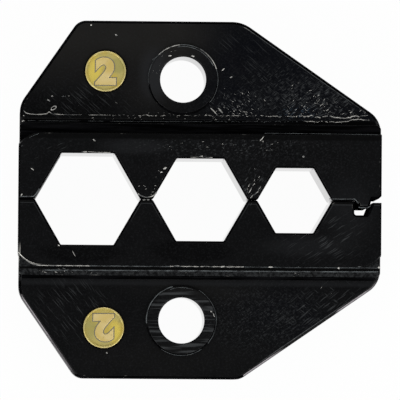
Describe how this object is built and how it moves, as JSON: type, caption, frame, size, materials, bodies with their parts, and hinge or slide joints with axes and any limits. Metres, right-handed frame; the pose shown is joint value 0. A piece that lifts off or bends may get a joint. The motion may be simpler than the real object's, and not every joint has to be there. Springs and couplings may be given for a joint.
{
  "type": "crimp die",
  "caption": "Two-half hexagon crimp die set for coaxial connectors, blackened steel with a tongue and notch at one end, raised screw bosses and brass marker pins",
  "frame": {"origin": "middle of the closed set on its back: the parting plane, half of the jaw's width, and the back faces of the jaws", "axes": "+X along the jaw from the large hexagon to the small one, +Y from the lower half to the upper half, +Z out of the front faces, along the screw holes"},
  "size_m": [0.0364, 0.0358, 0.009],
  "materials": {
    "blackened_steel": "semi-gloss black oxide, worn bright along the steps and edges",
    "brass": "satin stamped brass, bright raised rim and numeral"
  },
  "bodies": {
    "lower": {"lower_die": "blackened_steel", "lower_marker_pin": "brass"},
    "upper": {"upper_die": "blackened_steel", "upper_marker_pin": "brass"}
  },
  "joints": [
    {"name": "die_closing", "type": "slide", "parent": "lower", "child": "upper", "axis": [0, 1, 0], "range_m": [0, 0.012]}
  ]
}
